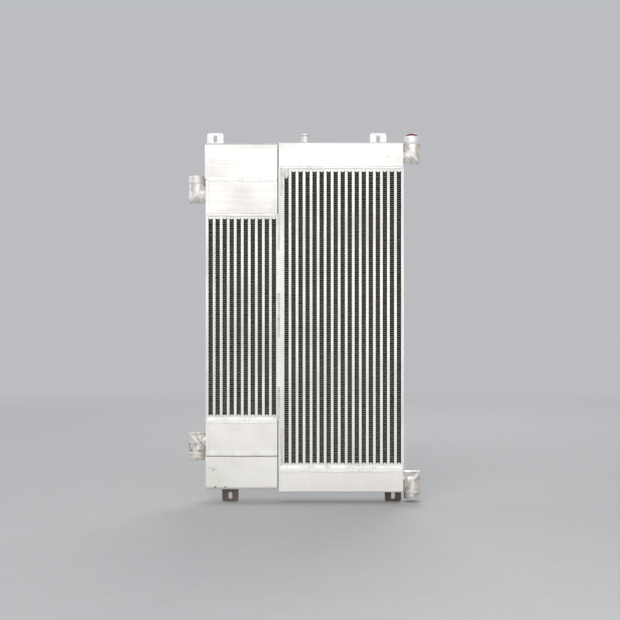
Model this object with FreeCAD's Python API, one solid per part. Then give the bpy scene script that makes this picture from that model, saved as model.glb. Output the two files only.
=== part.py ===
"""Twin-circuit hydraulic oil cooler, brazed bar-and-plate aluminium. Units are millimetres.

Two cores stand side by side: the small one on the left (-X) and the main one on the right (+X).
Oil runs up and down (Z) in flat passages between parting sheets; air blows through along Y.
The front is -Y and the cooler's middle plane is Y = 0.
The origin is midway between the two lower lug slots, on their centre line.
"""

import FreeCAD, Part
import math
import os

Vector = FreeCAD.Vector

# ---------------------------------------------------------------- driving dimensions

# Core stack, across X
AIR_FIN_HEIGHT = 10.0      # width of one air channel
OIL_GAP = 4.6              # width of one oil passage
SHEET_T = 0.8              # parting sheet
SIDE_PLATE_T = 6.0
MAIN_CHANNELS = 17         # air channels in the main core
SMALL_CHANNELS = 10
CORE_DEPTH = 80.0

# Core lengths, along Z
MAIN_FIN_LENGTH = 676.0    # between the shoulders of the main core's air bars
AIR_BAR_HEIGHT = 10.0      # closing bars of the air channels
AIR_BAR_NOSE = 3.0
AIR_BAR_NOSE_FLAT = 2.0
OIL_BAR_DEPTH = 8.0        # closing bars of the oil passages

# Corrugated sheets
AIR_FIN_PITCH = 5.08       # one full wave, 10 fins per inch
AIR_FIN_T = 0.25
TURBULATOR_PITCH = 4.0
TURBULATOR_T = 0.25
TURBULATOR_SETBACK = 4.0   # from each end of the passage

# Header tanks
MAIN_TANK_HEIGHT = 55.0
SMALL_TOP_TANK_HEIGHT = 79.5
SMALL_BOTTOM_TANK_HEIGHT = 84.5
TANK_PROUD = 2.0           # tank face in front of the core face
TANK_WALL = 5.0
TANK_FOOT_HEIGHT = 10.0    # thicker foot of the tank's legs
TANK_FOOT_PROUD = 1.0
TANK_INNER_RADIUS = 1.0
MAIN_TANK_RADIUS = 3.0
SMALL_TANK_RADIUS = 6.5
TANK_CAP_T = 7.0
MAIN_TANK_OUTER_INSET = 2.0    # tank's end inside the main core's outer side
MAIN_TANK_INNER_OVERHANG = 6.0   # tank's other end, out over the tie bars
SMALL_TANK_INNER_INSET = 3.0   # tank's end inside the small core's inner side

# Spacer boxes, which bring the small unit up to the main unit's height
TOP_SPACER_HEIGHT = 83.0
BOTTOM_SPACER_HEIGHT = 75.0
TOP_SPACER_OVERHANG = 2.0      # past the small core's outer side
SPACER_WALL = 4.0
SPACER_CAP_T = 4.0
SPACER_JOINT_RADIUS = 1.5  # corners beside the tank
SMALL_TOP_DROP = 1.5       # small unit's top below the main unit's top
SMALL_BOTTOM_RISE = 6.5    # small unit's bottom above the main unit's bottom

# Tie bars between the two cores
TIE_BAR_WIDTH = 7.0
TIE_BAR_DEPTH = 20.0

# Ports: stub, mitred leg and threaded collar
PIPE_OD = 38.1
PIPE_WALL = 3.5
COLLAR_LENGTH = 16.5
PORT_THREAD_MINOR = 24.1   # G 3/4 female thread, cut to its minor diameter
PORT_LEG_GAP = 4.95        # tank end to the near side of the leg
PORT_RISE = 45.0           # stub axis to the collar's mouth
MAIN_PORT_DROP = 26.0      # tank's closed face to the stub axis
SMALL_PORT_DROP = 34.0
PORT_CHAMFER = 1.2

# Lugs, set by how far each one's centre is inside the cooler's outer side
LUG_WIDTH = 38.0
LUG_T = 5.0
LUG_RADIUS = 6.0
LUG_SLOT_WIDTH = 9.0
LUG_SLOT_LENGTH = 17.0
LUG_SLOT_OFFSET = 13.0     # main tank's closed face to the slot centre
LUG_END_MARGIN = 14.0      # slot centre to the lug's end
UPPER_LEFT_LUG_INSET = 19.0
UPPER_RIGHT_LUG_INSET = 57.0
LOWER_LEFT_LUG_INSET = 54.0
LOWER_RIGHT_LUG_INSET = 22.0

# Vent boss on the main top tank, with its plug and sealing washer
VENT_INSET = 59.5          # main top tank's inner end to the boss axis
VENT_BORE = 11.5           # G 1/4 female thread, cut to its minor diameter
VENT_BOSS_WALL = 5.0
VENT_BOSS_HEIGHT = 19.0
VENT_SEAL_CLEARANCE = 0.8  # radial, around the plug's shank
VENT_SEAL_WIDTH = 2.9      # radial
VENT_SEAL_T = 1.5
VENT_HEAD_BEARING = 3.2    # radial, head past the bore
VENT_HEAD_HEIGHT = 5.0
VENT_HEAD_CHAMFER = 1.0
VENT_SHANK_LENGTH = 12.0
VENT_HEX_SOCKET = 6.0      # across flats
VENT_SOCKET_DEPTH = 5.5

# Push-in transit plug in the main top port
TRANSIT_FLANGE_RIM = 4.5   # radial, flange past the port's bore
TRANSIT_FLANGE_T = 2.5
TRANSIT_SKIRT_DEPTH = 12.0
TRANSIT_SKIRT_WALL = 1.6
TRANSIT_GRIP_LENGTH = 22.0
TRANSIT_GRIP_WIDTH = 4.0
TRANSIT_GRIP_HEIGHT = 4.5

PLUG_CLEARANCE = 0.05      # radial, between a plug's shank or skirt and its hole

# ---------------------------------------------------------------- derived places

SHEETED_GAP = OIL_GAP + 2 * SHEET_T
STACK_PITCH = AIR_FIN_HEIGHT + SHEETED_GAP
HALF_DEPTH = CORE_DEPTH / 2
TANK_HALF_DEPTH = HALF_DEPTH + TANK_PROUD


def stack_width(channels):
    """Width of a core with that many air channels, side plates included."""
    return channels * AIR_FIN_HEIGHT + (channels - 1) * SHEETED_GAP + 2 * SIDE_PLATE_T


SMALL_WIDTH = stack_width(SMALL_CHANNELS)
MAIN_WIDTH = stack_width(MAIN_CHANNELS)
TOTAL_WIDTH = SMALL_WIDTH + TIE_BAR_WIDTH + MAIN_WIDTH
LEFT = -(TOTAL_WIDTH + LOWER_LEFT_LUG_INSET - LOWER_RIGHT_LUG_INSET) / 2
SMALL_RIGHT = LEFT + SMALL_WIDTH
MAIN_LEFT = SMALL_RIGHT + TIE_BAR_WIDTH
RIGHT = MAIN_LEFT + MAIN_WIDTH

MAIN_BOTTOM = LUG_SLOT_OFFSET
MAIN_CORE_BOTTOM = MAIN_BOTTOM + MAIN_TANK_HEIGHT
MAIN_CORE_TOP = MAIN_CORE_BOTTOM + MAIN_FIN_LENGTH + 2 * AIR_BAR_HEIGHT
MAIN_TOP = MAIN_CORE_TOP + MAIN_TANK_HEIGHT

SMALL_TOP = MAIN_TOP - SMALL_TOP_DROP
SMALL_TANK_TOP = SMALL_TOP - TOP_SPACER_HEIGHT
SMALL_CORE_TOP = SMALL_TANK_TOP - SMALL_TOP_TANK_HEIGHT
SMALL_BOTTOM = MAIN_BOTTOM + SMALL_BOTTOM_RISE
SMALL_TANK_BOTTOM = SMALL_BOTTOM + BOTTOM_SPACER_HEIGHT
SMALL_CORE_BOTTOM = SMALL_TANK_BOTTOM + SMALL_BOTTOM_TANK_HEIGHT

SMALL_TANK_X = (LEFT, SMALL_RIGHT - SMALL_TANK_INNER_INSET)
TOP_SPACER_X = (LEFT - TOP_SPACER_OVERHANG, SMALL_TANK_X[1])
MAIN_TANK_X = (MAIN_LEFT - MAIN_TANK_INNER_OVERHANG, RIGHT - MAIN_TANK_OUTER_INSET)

LOWER_SLOT_Z = 0.0
UPPER_SLOT_Z = MAIN_TOP + LUG_SLOT_OFFSET

VENT_X = MAIN_TANK_X[0] + VENT_INSET
PIPE_RADIUS = PIPE_OD / 2
PIPE_BORE_RADIUS = PIPE_RADIUS - PIPE_WALL
PORT_REACH = PIPE_RADIUS + PORT_LEG_GAP      # tank end to the leg's axis

# ---------------------------------------------------------------- shape helpers


def box(x0, x1, y0, y1, z0, z1):
    return Part.makeBox(x1 - x0, y1 - y0, z1 - z0, Vector(x0, y0, z0))


def rod(radius, length, start, direction):
    return Part.makeCylinder(radius, length, start, direction)


def tube(outer_radius, inner_radius, length, start, direction):
    outer = rod(outer_radius, length, start, direction)
    return outer.cut(rod(inner_radius, length, start, direction))


def prism(points, travel):
    """The closed outline through the points, extruded by the travel vector."""
    return Part.Face(Part.makePolygon(points + [points[0]])).extrude(travel)


def turned(section, base, direction):
    """Solid of revolution from (radius, height) points, standing on the base point, up or down."""
    points = [Vector(radius, 0, height) for radius, height in section]
    face = Part.Face(Part.makePolygon(points + [points[0]]))
    solid = face.revolve(Vector(0, 0, 0), Vector(0, 0, 1), 360)
    if direction.z < 0:
        solid.rotate(Vector(0, 0, 0), Vector(1, 0, 0), 180)
    solid.translate(base)
    return solid


def end_face(x, base_z, side, corners):
    """Face in the plane at x through (y, height, radius) corners, all square; heights go up or down."""
    points = [Vector(x, y, base_z + side * height) for y, height, _ in corners]
    arcs = []
    for i, (point, (_, _, radius)) in enumerate(zip(points, corners)):
        back = (points[i - 1] - point).normalize()
        ahead = (points[(i + 1) % len(points)] - point).normalize()
        middle = point + (back + ahead) * radius * (1 - math.sqrt(0.5))
        arcs.append((point + back * radius, middle, point + ahead * radius, radius))
    edges = []
    for i, (start, middle, end, radius) in enumerate(arcs):
        if radius > 0:
            edges.append(Part.Arc(start, middle, end).toShape())
        edges.append(Part.LineSegment(end, arcs[(i + 1) % len(arcs)][0]).toShape())
    return Part.Face(Part.Wire(edges))


def wave_sheet(length, pitch, span, thickness):
    """Outline of a zigzag sheet as (across, along) pairs: it runs along and swings across the span."""
    half_waves = 2 * max(1, round(length / pitch))
    step = length / half_waves
    width = thickness * math.hypot(step, span) / step      # the sheet measured straight across
    near = [((i % 2) * (span - width), i * step) for i in range(half_waves + 1)]
    far = [(across + width, along) for across, along in reversed(near)]
    return near + far


def save(name, shapes):
    """Writes one node. Each shape has to be one sound solid, and stays separate."""
    solids = [solid for shape in shapes for solid in shape.Solids]
    if len(solids) != len(shapes) or not all(s.isValid() and s.Volume > 0 for s in solids):
        raise ValueError(f"{name} has a piece that isn't one sound solid")
    whole = solids[0] if len(solids) == 1 else Part.makeCompound(solids)
    whole.exportStep(f"parts/{name}.step")


# ---------------------------------------------------------------- cores


def air_channel_starts(left, channels):
    """X of the left side of each air channel."""
    return [left + SIDE_PLATE_T + i * STACK_PITCH for i in range(channels)]


def air_bar(x, shoulder_z, side):
    """Bar that closes an air channel; its nose points into the channel. side is +1 at the top."""
    middle = x + AIR_FIN_HEIGHT / 2
    half_flat = AIR_BAR_NOSE_FLAT / 2
    back_z = shoulder_z + side * AIR_BAR_HEIGHT
    nose_z = shoulder_z - side * AIR_BAR_NOSE
    points = [(x, back_z), (x + AIR_FIN_HEIGHT, back_z), (x + AIR_FIN_HEIGHT, shoulder_z),
              (middle + half_flat, nose_z), (middle - half_flat, nose_z), (x, shoulder_z)]
    return prism([Vector(px, -HALF_DEPTH, pz) for px, pz in points], Vector(0, CORE_DEPTH, 0))


def air_fin(x, bottom, length):
    """Corrugated sheet across an air channel; air blows between its folds."""
    points = wave_sheet(length, AIR_FIN_PITCH, AIR_FIN_HEIGHT, AIR_FIN_T)
    return prism([Vector(x + across, -HALF_DEPTH, bottom + along) for across, along in points],
                 Vector(0, CORE_DEPTH, 0))


def turbulator(x, bottom, length):
    """Corrugated sheet inside an oil passage, between its front and rear bars."""
    front = -HALF_DEPTH + OIL_BAR_DEPTH
    points = wave_sheet(CORE_DEPTH - 2 * OIL_BAR_DEPTH, TURBULATOR_PITCH, OIL_GAP, TURBULATOR_T)
    start = bottom + TURBULATOR_SETBACK
    return prism([Vector(x + across, front + along, start) for across, along in points],
                 Vector(0, 0, length - 2 * TURBULATOR_SETBACK))


def build_core(name, left, channels, bottom, top):
    """All pieces of one core block, from its left side plate to its right one."""
    right = left + stack_width(channels)
    low_shoulder = bottom + AIR_BAR_HEIGHT
    high_shoulder = top - AIR_BAR_HEIGHT
    fin_bottom = low_shoulder + AIR_BAR_NOSE
    fin_length = high_shoulder - AIR_BAR_NOSE - fin_bottom
    air = air_channel_starts(left, channels)
    oil = [x + AIR_FIN_HEIGHT + SHEET_T for x in air[:-1]]
    front, rear = -HALF_DEPTH, HALF_DEPTH

    def slab(x, width, y0, y1):
        return box(x, x + width, y0, y1, bottom, top)

    save(f"{name}_side_plate_left", [slab(left, SIDE_PLATE_T, front, rear)])
    save(f"{name}_side_plate_right", [slab(right - SIDE_PLATE_T, SIDE_PLATE_T, front, rear)])
    sheets = [slab(x + shift, SHEET_T, front, rear) for x in oil for shift in (-SHEET_T, OIL_GAP)]
    save(f"{name}_parting_sheets", sheets)
    save(f"{name}_oil_bars_front", [slab(x, OIL_GAP, front, front + OIL_BAR_DEPTH) for x in oil])
    save(f"{name}_oil_bars_rear", [slab(x, OIL_GAP, rear - OIL_BAR_DEPTH, rear) for x in oil])
    save(f"{name}_oil_turbulators", [turbulator(x, bottom, top - bottom) for x in oil])
    save(f"{name}_air_bars_top", [air_bar(x, high_shoulder, 1) for x in air])
    save(f"{name}_air_bars_bottom", [air_bar(x, low_shoulder, -1) for x in air])
    save(f"{name}_air_fins", [air_fin(x, fin_bottom, fin_length) for x in air])


def build_tie_bars():
    """Two bars between the cores, front and rear, as long as the main core."""
    for label, y in (("front", -HALF_DEPTH), ("rear", HALF_DEPTH - TIE_BAR_DEPTH)):
        bar = box(SMALL_RIGHT, MAIN_LEFT, y, y + TIE_BAR_DEPTH, MAIN_CORE_BOTTOM, MAIN_CORE_TOP)
        save(f"tie_bar_{label}", [bar])


# ---------------------------------------------------------------- tanks and spacers


def tank_body(x0, x1, mouth_z, side, height, radius):
    """Open channel with its mouth on the core and a thicker foot on each leg."""
    outer = TANK_HALF_DEPTH
    foot = outer + TANK_FOOT_PROUD
    inner = outer - TANK_WALL
    roof = height - TANK_WALL
    inner_radius = max(radius - TANK_WALL, TANK_INNER_RADIUS)
    leg = [(foot, 0, 0), (foot, TANK_FOOT_HEIGHT, 0), (outer, TANK_FOOT_HEIGHT, 0), (outer, height, radius)]
    far_leg = [(-y, h, r) for y, h, r in reversed(leg)]
    inside = [(-inner, 0, 0), (-inner, roof, inner_radius), (inner, roof, inner_radius), (inner, 0, 0)]
    return end_face(x0, mouth_z, side, leg + far_leg + inside).extrude(Vector(x1 - x0, 0, 0))


def tank_cap(x, mouth_z, side, height, radius):
    half = TANK_HALF_DEPTH
    corners = [(half, 0, 0), (half, height, radius), (-half, height, radius), (-half, 0, 0)]
    return end_face(x, mouth_z, side, corners).extrude(Vector(TANK_CAP_T, 0, 0))


def build_tank(name, span, mouth_z, side, height, radius, port_end, port_z, vent_x=None):
    """Channel body and two end caps. port_end, -1 or +1, is the end that takes the port."""
    x0, x1 = span
    body = tank_body(x0 + TANK_CAP_T, x1 - TANK_CAP_T, mouth_z, side, height, radius)
    if vent_x is not None:
        roof = Vector(vent_x, 0, mouth_z + side * (height - TANK_WALL))
        body = body.cut(rod(VENT_BORE / 2, TANK_WALL, roof, Vector(0, 0, side)))
    save(f"{name}_body", [body])
    for label, end, x in (("left", -1, x0), ("right", 1, x1 - TANK_CAP_T)):
        cap = tank_cap(x, mouth_z, side, height, radius)
        if end == port_end:
            cap = cap.cut(rod(PIPE_BORE_RADIUS, TANK_CAP_T, Vector(x, 0, port_z), Vector(1, 0, 0)))
        save(f"{name}_cap_{label}", [cap])


def build_spacer(name, span, joint_z, side, height):
    """Hollow box with two end plates. It grows from its joint with the tank: side is +1 upwards."""
    x0, x1 = span

    def section(x, shrink):
        half, near, far = TANK_HALF_DEPTH - shrink, shrink, height - shrink
        joint_radius = max(SPACER_JOINT_RADIUS - shrink, TANK_INNER_RADIUS)
        far_radius = max(SMALL_TANK_RADIUS - shrink, TANK_INNER_RADIUS)
        corners = [(half, near, joint_radius), (half, far, far_radius),
                   (-half, far, far_radius), (-half, near, joint_radius)]
        return end_face(x, joint_z, side, corners)

    start = x0 + SPACER_CAP_T
    travel = Vector(x1 - SPACER_CAP_T - start, 0, 0)
    shell = section(start, 0).extrude(travel)
    save(f"{name}_box", [shell.cut(section(start, SPACER_WALL).extrude(travel))])
    plate = Vector(SPACER_CAP_T, 0, 0)
    save(f"{name}_caps", [section(x, 0).extrude(plate) for x in (x0, x1 - SPACER_CAP_T)])


# ---------------------------------------------------------------- ports


def half_space(corner, normal):
    """A block that fills the side of the plane through the corner that the normal points to."""
    size = 6 * (PORT_RISE + PORT_REACH)
    block = Part.makeBox(size, size, size, Vector(-size / 2, -size / 2, 0))
    block.Placement = FreeCAD.Placement(corner, FreeCAD.Rotation(Vector(0, 0, 1), normal))
    return block


def build_port(name, out, turn, tank_face):
    """Stub out of the tank's end, leg mitred onto it, and threaded collar on the leg."""
    corner = tank_face + out * PORT_REACH
    leg_length = PORT_RISE - COLLAR_LENGTH
    past_corner = 1.5 * PIPE_RADIUS          # enough for the mitre to cut right through
    after_mitre = half_space(corner, out + turn)
    stub = tube(PIPE_RADIUS, PIPE_BORE_RADIUS, PORT_REACH + past_corner, tank_face, out)
    leg = tube(PIPE_RADIUS, PIPE_BORE_RADIUS, leg_length + past_corner, corner - turn * past_corner, turn)
    save(f"{name}_stub", [stub.cut(after_mitre)])
    save(f"{name}_leg", [leg.common(after_mitre)])
    save(f"{name}_collar", [collar(corner + turn * leg_length, turn)])


def collar(base, direction):
    """Threaded collar, flush with the pipe, its mouth chamfered inside and out."""
    bore, edge, shoulder = PORT_THREAD_MINOR / 2, PORT_CHAMFER, COLLAR_LENGTH - PORT_CHAMFER
    section = [(bore, 0), (PIPE_RADIUS, 0), (PIPE_RADIUS, shoulder), (PIPE_RADIUS - edge, COLLAR_LENGTH),
               (bore + edge, COLLAR_LENGTH), (bore, shoulder)]
    return turned(section, base, direction)


def build_transit_plug(mouth):
    """Push-in plastic plug, one piece: flange, hollow skirt and grip bar."""
    skirt = PORT_THREAD_MINOR / 2 - PLUG_CLEARANCE
    inner = skirt - TRANSIT_SKIRT_WALL
    rim = PORT_THREAD_MINOR / 2 + TRANSIT_FLANGE_RIM
    section = [(0, 0), (inner, 0), (inner, -TRANSIT_SKIRT_DEPTH), (skirt, -TRANSIT_SKIRT_DEPTH),
               (skirt, 0), (rim, 0), (rim, TRANSIT_FLANGE_T), (0, TRANSIT_FLANGE_T)]
    half_length, half_width = TRANSIT_GRIP_LENGTH / 2, TRANSIT_GRIP_WIDTH / 2
    foot = mouth.z + TRANSIT_FLANGE_T
    grip = box(mouth.x - half_length, mouth.x + half_length, -half_width, half_width,
               foot, foot + TRANSIT_GRIP_HEIGHT)
    plug = turned(section, mouth, Vector(0, 0, 1)).fuse(grip)
    save("transit_plug", [plug.removeSplitter()])


# ---------------------------------------------------------------- lugs and vent


def lug(x, face_z, slot_z, side):
    """Upright plate on a tank's face, with a slot along Z. side is +1 on top."""
    half, back, end_z = LUG_WIDTH / 2, LUG_T / 2, slot_z + side * LUG_END_MARGIN
    plate = box(x - half, x + half, -back, back, min(face_z, end_z), max(face_z, end_z))
    corners = [edge for edge in plate.Edges
               if edge.BoundBox.YLength > LUG_T / 2 and abs(edge.CenterOfMass.z - end_z) < LUG_T / 2]
    plate = plate.makeFillet(LUG_RADIUS, corners)
    end_radius = LUG_SLOT_WIDTH / 2
    reach = LUG_SLOT_LENGTH / 2 - end_radius
    slot = box(x - end_radius, x + end_radius, -back, back, slot_z - reach, slot_z + reach)
    for shift in (-reach, reach):
        slot = slot.fuse(rod(end_radius, LUG_T, Vector(x, -back, slot_z + shift), Vector(0, 1, 0)))
    return plate.cut(slot)


def build_lugs():
    places = (("upper_left", LEFT + UPPER_LEFT_LUG_INSET, SMALL_TOP, UPPER_SLOT_Z, 1),
              ("upper_right", RIGHT - UPPER_RIGHT_LUG_INSET, MAIN_TOP, UPPER_SLOT_Z, 1),
              ("lower_left", LEFT + LOWER_LEFT_LUG_INSET, SMALL_BOTTOM, LOWER_SLOT_Z, -1),
              ("lower_right", RIGHT - LOWER_RIGHT_LUG_INSET, MAIN_BOTTOM, LOWER_SLOT_Z, -1))
    for label, x, face_z, slot_z, side in places:
        save(f"lug_{label}", [lug(x, face_z, slot_z, side)])


def build_vent():
    """Boss on the tank's top, sealing washer on the boss, and socket-head plug through both."""
    up = Vector(0, 0, 1)
    bore = VENT_BORE / 2
    base = Vector(VENT_X, 0, MAIN_TOP)
    seat = base + up * VENT_BOSS_HEIGHT
    save("vent_boss", [tube(bore + VENT_BOSS_WALL, bore, VENT_BOSS_HEIGHT, base, up)])
    seal_bore = bore + VENT_SEAL_CLEARANCE
    save("vent_seal", [tube(seal_bore + VENT_SEAL_WIDTH, seal_bore, VENT_SEAL_T, seat, up)])

    shank, head = bore - PLUG_CLEARANCE, bore + VENT_HEAD_BEARING
    tip = VENT_SEAL_T - VENT_SHANK_LENGTH
    top = VENT_SEAL_T + VENT_HEAD_HEIGHT
    section = [(0, tip), (shank, tip), (shank, VENT_SEAL_T), (head, VENT_SEAL_T),
               (head, top - VENT_HEAD_CHAMFER), (head - VENT_HEAD_CHAMFER, top), (0, top)]
    corner = VENT_HEX_SOCKET / 2 / math.cos(math.pi / 6)
    turns = [math.radians(60 * i) for i in range(6)]
    hexagon = [Vector(VENT_X + corner * math.cos(a), corner * math.sin(a), seat.z + top) for a in turns]
    socket = prism(hexagon, up * -VENT_SOCKET_DEPTH)
    save("vent_plug", [turned(section, seat, up).cut(socket)])


# ---------------------------------------------------------------- the whole cooler


def main():
    os.makedirs("parts", exist_ok=True)
    build_core("small_core", LEFT, SMALL_CHANNELS, SMALL_CORE_BOTTOM, SMALL_CORE_TOP)
    build_core("main_core", MAIN_LEFT, MAIN_CHANNELS, MAIN_CORE_BOTTOM, MAIN_CORE_TOP)
    build_tie_bars()

    left, right, up, down = Vector(-1, 0, 0), Vector(1, 0, 0), Vector(0, 0, 1), Vector(0, 0, -1)
    small_end, main_end = SMALL_TANK_X[0], MAIN_TANK_X[1]
    small_top_port = SMALL_TANK_TOP - SMALL_PORT_DROP
    small_bottom_port = SMALL_TANK_BOTTOM + SMALL_PORT_DROP
    main_top_port = MAIN_TOP - MAIN_PORT_DROP
    main_bottom_port = MAIN_BOTTOM + MAIN_PORT_DROP

    build_tank("small_top_tank", SMALL_TANK_X, SMALL_CORE_TOP, 1, SMALL_TOP_TANK_HEIGHT,
               SMALL_TANK_RADIUS, -1, small_top_port)
    build_tank("small_bottom_tank", SMALL_TANK_X, SMALL_CORE_BOTTOM, -1, SMALL_BOTTOM_TANK_HEIGHT,
               SMALL_TANK_RADIUS, -1, small_bottom_port)
    build_tank("main_top_tank", MAIN_TANK_X, MAIN_CORE_TOP, 1, MAIN_TANK_HEIGHT,
               MAIN_TANK_RADIUS, 1, main_top_port, vent_x=VENT_X)
    build_tank("main_bottom_tank", MAIN_TANK_X, MAIN_CORE_BOTTOM, -1, MAIN_TANK_HEIGHT,
               MAIN_TANK_RADIUS, 1, main_bottom_port)
    build_spacer("top_spacer", TOP_SPACER_X, SMALL_TANK_TOP, 1, TOP_SPACER_HEIGHT)
    build_spacer("bottom_spacer", SMALL_TANK_X, SMALL_TANK_BOTTOM, -1, BOTTOM_SPACER_HEIGHT)

    build_port("small_top_port", left, up, Vector(small_end, 0, small_top_port))
    build_port("small_bottom_port", left, down, Vector(small_end, 0, small_bottom_port))
    build_port("main_top_port", right, up, Vector(main_end, 0, main_top_port))
    build_port("main_bottom_port", right, down, Vector(main_end, 0, main_bottom_port))

    build_transit_plug(Vector(main_end + PORT_REACH, 0, main_top_port + PORT_RISE))
    build_lugs()
    build_vent()


main()
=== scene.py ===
"""Looks of the twin-circuit hydraulic oil cooler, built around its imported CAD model.

Everything is in metres in the CAD frame: +Z up, the front is -Y, the small core is on the left (-X).
Sizes that are written in millimetres are multiplied by MM.
"""

import math

import bpy
import numpy as np
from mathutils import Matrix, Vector


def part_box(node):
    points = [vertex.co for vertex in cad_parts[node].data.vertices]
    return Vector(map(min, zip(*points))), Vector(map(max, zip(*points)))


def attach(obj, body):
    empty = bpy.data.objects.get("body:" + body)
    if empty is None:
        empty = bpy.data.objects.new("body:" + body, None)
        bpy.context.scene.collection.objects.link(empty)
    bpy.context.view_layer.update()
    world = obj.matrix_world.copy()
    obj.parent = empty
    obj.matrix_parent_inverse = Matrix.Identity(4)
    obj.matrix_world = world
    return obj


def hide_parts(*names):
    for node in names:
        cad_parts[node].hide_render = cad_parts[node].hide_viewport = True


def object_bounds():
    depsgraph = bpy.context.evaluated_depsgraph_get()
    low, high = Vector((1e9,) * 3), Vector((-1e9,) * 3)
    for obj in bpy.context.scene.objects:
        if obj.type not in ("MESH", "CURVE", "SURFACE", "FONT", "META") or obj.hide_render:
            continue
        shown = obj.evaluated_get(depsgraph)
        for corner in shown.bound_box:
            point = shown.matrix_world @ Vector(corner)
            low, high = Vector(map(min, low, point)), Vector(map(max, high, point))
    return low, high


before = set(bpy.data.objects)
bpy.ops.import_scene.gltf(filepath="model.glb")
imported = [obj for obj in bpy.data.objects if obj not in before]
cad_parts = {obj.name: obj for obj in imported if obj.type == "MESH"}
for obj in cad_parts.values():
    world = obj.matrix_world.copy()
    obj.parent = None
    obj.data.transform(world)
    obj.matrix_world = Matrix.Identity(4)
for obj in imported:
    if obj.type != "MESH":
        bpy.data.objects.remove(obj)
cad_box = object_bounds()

MM = 0.001
UP, OUT_FRONT = np.array([0.0, 0.0, 1.0]), np.array([0.0, -1.0, 0.0])

# ---------------------------------------------------------------- places read from the frame


def span(node, axis):
    """Lowest and highest coordinate of a CAD node along axis 0, 1 or 2."""
    low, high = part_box(node)
    return low[axis], high[axis]


class Core:
    """Where one core block is, with the tanks above and below it."""

    def __init__(self, name):
        self.name = name
        self.left = span(f"{name}_core_side_plate_left", 0)[0]
        self.right = span(f"{name}_core_side_plate_right", 0)[1]
        self.front, self.rear = span(f"{name}_core_side_plate_left", 1)
        self.bottom, self.top = span(f"{name}_core_side_plate_left", 2)
        self.low_nose = span(f"{name}_core_air_bars_bottom", 2)[1]
        self.high_nose = span(f"{name}_core_air_bars_top", 2)[0]
        self.tank_x = (span(f"{name}_top_tank_cap_left", 0)[0], span(f"{name}_top_tank_cap_right", 0)[1])


SMALL, MAIN = Core("small"), Core("main")
TANK_FRONT, TANK_REAR = span("main_top_tank_cap_left", 1)
FOOT_FRONT, FOOT_REAR = span("main_top_tank_body", 1)
MAIN_TOP = span("main_top_tank_body", 2)[1]
MAIN_BOTTOM = span("main_bottom_tank_body", 2)[0]

# ---------------------------------------------------------------- mesh helpers


def add_piece(name, points, faces, material, body="cooler", smooth=True, toes=None):
    """A mesh piece with its vertices in the CAD frame, riding on a CAD body."""
    mesh = bpy.data.meshes.new(name)
    mesh.from_pydata(np.asarray(points, float).tolist(), [], faces)
    mesh.validate()
    if toes is not None:
        mesh.attributes.new("toe", "FLOAT", "POINT").data.foreach_set("value", toes)
    if smooth:
        mesh.polygons.foreach_set("use_smooth", [True] * len(mesh.polygons))
    mesh.materials.append(material)
    piece = bpy.data.objects.new(name, mesh)
    bpy.context.scene.collection.objects.link(piece)
    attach(piece, body)
    return piece


def grid_faces(rows, columns, closed_rows=False, closed_columns=False, start=0):
    """Quads of a grid whose points are stored row after row."""
    faces = []
    for i in range(rows if closed_rows else rows - 1):
        for j in range(columns if closed_columns else columns - 1):
            k, m = (i + 1) % rows, (j + 1) % columns
            faces.append((start + i * columns + j, start + k * columns + j,
                          start + k * columns + m, start + i * columns + m))
    return faces


def normalised(vectors):
    return vectors / np.maximum(np.linalg.norm(vectors, axis=-1, keepdims=True), 1e-12)


def smooth_noise(rng, length, step, positions):
    """Random values from -1 to 1 that change smoothly over that step."""
    count = int(length / step) + 4
    knots = rng.uniform(-1, 1, count)
    where = np.clip(positions / step, 0, count - 2)
    low = where.astype(int)
    t = where - low
    t = t * t * (3 - 2 * t)
    return knots[low] * (1 - t) + knots[low + 1] * t


class Build:
    """Collects the points and faces of several shells for one piece."""

    def __init__(self):
        self.points, self.faces, self.toes, self.count = [], [], [], 0

    def add(self, points, faces, toes=None):
        points = np.asarray(points, float).reshape(-1, 3)
        self.points.append(points)
        self.toes.append(np.zeros(len(points)) if toes is None else np.asarray(toes, float).ravel())
        self.faces += [tuple(i + self.count for i in face) for face in faces]
        self.count += len(points)

    def piece(self, name, material, body="cooler", smooth=True):
        points, toes = np.concatenate(self.points), np.concatenate(self.toes)
        return add_piece(name, points, self.faces, material, body, smooth, toes if toes.any() else None)


# ---------------------------------------------------------------- materials


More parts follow.
